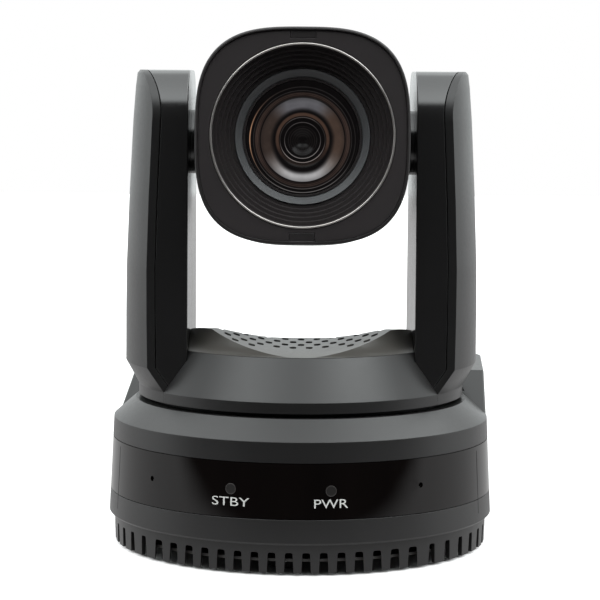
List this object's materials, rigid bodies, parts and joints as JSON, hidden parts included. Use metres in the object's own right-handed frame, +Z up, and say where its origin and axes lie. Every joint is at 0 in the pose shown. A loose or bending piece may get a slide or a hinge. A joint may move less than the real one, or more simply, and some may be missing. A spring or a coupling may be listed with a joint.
{
  "type": "pan tilt zoom camera",
  "caption": "Robotic camera: round base with squared rear hump, U-shaped turning yoke with two arms, and a rounded-square camera head with a deep ringed lens that tilts between them.",
  "frame": {"origin": "on the pan axis, in the plane of the feet and of the tripod boss face", "axes": "+Z up along the pan axis; the lens looks along -Y at rest, tipped 4.4 degrees up; +X to the right seen from the front camera side; the base front is turned 5.6 degrees about Z from the yoke at rest"},
  "size_m": [0.1685, 0.1708, 0.2237],
  "materials": {
    "charcoal_housing": "fine moulded satin texture",
    "sheet_metal": "black powder coat",
    "rubber": "matte",
    "steel": "zinc plated",
    "window_gloss": "polished, infrared-passing",
    "light_pipe": "smoked, translucent",
    "component_black": "moulded",
    "circuit_board": "solder mask",
    "connector_metal": "nickel plated",
    "cast_alloy": "as cast, satin",
    "motor_metal": "black with bare end caps",
    "brass": "turned",
    "gear_plastic": "moulded acetal",
    "cable_jacket": "braided sleeve",
    "bezel_black": "fine matte texture",
    "silver_trim": "satin anodised",
    "baffle_black": "anti-reflection black",
    "ring_grey": "satin grey",
    "optical_glass": "multi-coated",
    "hub_plastic": "satin"
  },
  "bodies": {
    "base": {"bottom_tray": "charcoal_housing", "metal_bottom_plate": "sheet_metal", "rubber_feet": "rubber", "base_screws": "steel", "base_shell": "charcoal_housing", "front_window": "window_gloss", "led_light_pipes": "light_pipe", "microphones": "component_black", "ir_receivers": "component_black", "chassis_plate": "sheet_metal", "main_board": "circuit_board", "front_board": "circuit_board", "rear_panel": "sheet_metal", "power_jack": "component_black", "lan_connector": "connector_metal", "hdmi_connector": "connector_metal", "sdi_connector": "connector_metal", "serial_connectors": "component_black", "pan_bearing_housing": "cast_alloy", "pan_bearing_outer_races": "steel", "pan_bearing_balls": "steel", "pan_motor": "motor_metal"},
    "pan_motor_rotor": {"pan_pinion": "brass"},
    "yoke": {"pan_bearing_inner_races": "steel", "pan_gear": "gear_plastic", "pan_shaft": "steel", "turntable": "cast_alloy", "yoke_frame": "sheet_metal", "yoke_screws": "steel", "arm_housing_left": "charcoal_housing", "arm_housing_right": "charcoal_housing", "arm_cover_left": "charcoal_housing", "arm_cover_right": "charcoal_housing", "yoke_front_cover": "charcoal_housing", "yoke_rear_cover": "charcoal_housing", "deck_cover": "charcoal_housing", "tilt_bushings": "brass", "tilt_motor": "motor_metal", "tilt_belt": "rubber", "cable_loom": "cable_jacket"},
    "tilt_motor_rotor": {"tilt_motor_pulley": "brass"},
    "head": {"head_shell": "charcoal_housing", "head_rear_cap": "charcoal_housing", "front_bezel": "bezel_black", "lens_trim_ring": "silver_trim", "hood_baffle": "baffle_black", "lens_front_ring": "ring_grey", "lens_barrel": "baffle_black", "front_lens": "optical_glass", "guide_rods": "steel", "iris_unit": "component_black", "camera_block_frame": "cast_alloy", "image_sensor_board": "circuit_board", "tilt_hub_left": "hub_plastic", "tilt_hub_right": "hub_plastic", "tilt_pulley": "gear_plastic"},
    "zoom_carriage": {"zoom_group": "component_black", "zoom_lens": "optical_glass"},
    "focus_carriage": {"focus_group": "component_black", "focus_lens": "optical_glass"}
  },
  "joints": [
    {"name": "pan", "type": "hinge", "parent": "base", "child": "yoke", "pos_m": [0, 0, 0], "axis": [0, 0, 1], "range_deg": [-175.6, 164.4]},
    {"name": "pan_motor_spin", "type": "hinge", "parent": "base", "child": "pan_motor_rotor", "pos_m": [-0.00439, -0.04479, 0.05], "axis": [0, 0, 1], "range_deg": [-660, 705]},
    {"name": "tilt", "type": "hinge", "parent": "yoke", "child": "head", "pos_m": [0, 0, 0.1747], "axis": [-1, 0, 0], "range_deg": [-34.4, 85.6]},
    {"name": "tilt_motor_spin", "type": "hinge", "parent": "yoke", "child": "tilt_motor_rotor", "pos_m": [0.054, 0, 0.118], "axis": [-1, 0, 0], "range_deg": [-112, 276]},
    {"name": "zoom", "type": "slide", "parent": "head", "child": "zoom_carriage", "axis": [0, -0.9971, 0.0767], "range_m": [-0.008, 0.008]},
    {"name": "focus", "type": "slide", "parent": "head", "child": "focus_carriage", "axis": [0, -0.9971, 0.0767], "range_m": [-0.003, 0.003]}
  ],
  "couplings": [
    {"joint": "pan_motor_spin", "follows": "pan", "ratio": -4},
    {"joint": "tilt_motor_spin", "follows": "tilt", "ratio": 3.2}
  ]
}
